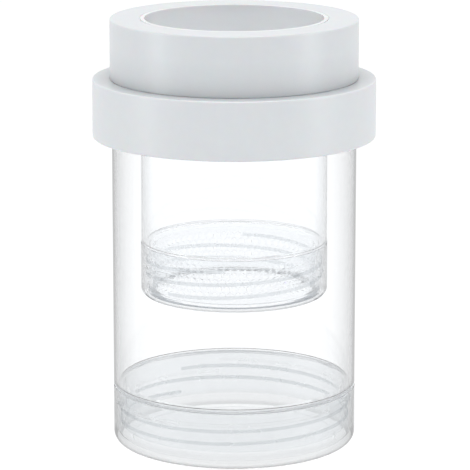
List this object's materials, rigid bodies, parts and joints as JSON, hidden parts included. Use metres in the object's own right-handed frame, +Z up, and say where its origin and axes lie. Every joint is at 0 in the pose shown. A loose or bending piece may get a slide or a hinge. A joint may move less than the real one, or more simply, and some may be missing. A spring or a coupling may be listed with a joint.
{
  "type": "fish breeding box",
  "caption": "Floating round fish breeding box: a clear tube with a honeycomb basket hangs from a foam collar inside a larger clear tube with a screw-on collecting cup.",
  "frame": {"origin": "centre of the collecting cup's foot, on the surface that it stands on", "axes": "+Z up along the common axis of the tubes, -Y towards the front of the picture"},
  "size_m": [0.104, 0.104, 0.1586],
  "materials": {
    "tube_acrylic": "polished",
    "neck_plastic": "gloss",
    "cup_plastic": "gloss",
    "honeycomb_plastic": "satin",
    "silicone": "satin",
    "float_foam": "matte"
  },
  "bodies": {
    "cup": {"collecting_cup": "cup_plastic"},
    "washer": {"cup_washer": "silicone"},
    "outer_vessel": {"outer_neck": "neck_plastic", "outer_tube": "tube_acrylic"},
    "lower_collar": {"lower_float": "float_foam"},
    "upper_collar": {"upper_float": "float_foam"},
    "inner_vessel": {"inner_tube": "tube_acrylic", "inner_neck": "neck_plastic"},
    "basket_floor": {"honeycomb_floor": "honeycomb_plastic", "honeycomb_wall": "honeycomb_plastic"},
    "basket_cup": {"basket": "cup_plastic"}
  },
  "joints": [
    {"name": "vessel_rise", "type": "slide", "parent": "cup", "child": "washer", "axis": [0, 0, 1], "range_m": [0, 0.009]},
    {"name": "vessel_unscrew", "type": "hinge", "parent": "washer", "child": "outer_vessel", "pos_m": [0, 0, 0.0216], "axis": [0, 0, 1], "range_deg": [0, 700]},
    {"name": "lower_collar_slide", "type": "slide", "parent": "outer_vessel", "child": "lower_collar", "axis": [0, 0, -1], "range_m": [0, 0.09]},
    {"name": "inner_lift", "type": "slide", "parent": "outer_vessel", "child": "upper_collar", "axis": [0, 0, 1], "range_m": [0, 0.11]},
    {"name": "inner_tube_slide", "type": "slide", "parent": "upper_collar", "child": "inner_vessel", "axis": [0, 0, 1], "range_m": [0, 0.05]},
    {"name": "basket_drop", "type": "slide", "parent": "inner_vessel", "child": "basket_floor", "axis": [0, 0, -1], "range_m": [0, 0.0106]},
    {"name": "basket_unscrew", "type": "hinge", "parent": "basket_floor", "child": "basket_cup", "pos_m": [0, 0, 0.0571], "axis": [0, 0, -1], "range_deg": [0, 395]}
  ],
  "couplings": [
    {"joint": "vessel_rise", "follows": "vessel_unscrew", "m_per_rad": 0.00073211},
    {"joint": "basket_drop", "follows": "basket_unscrew", "m_per_rad": 0.0015279}
  ]
}
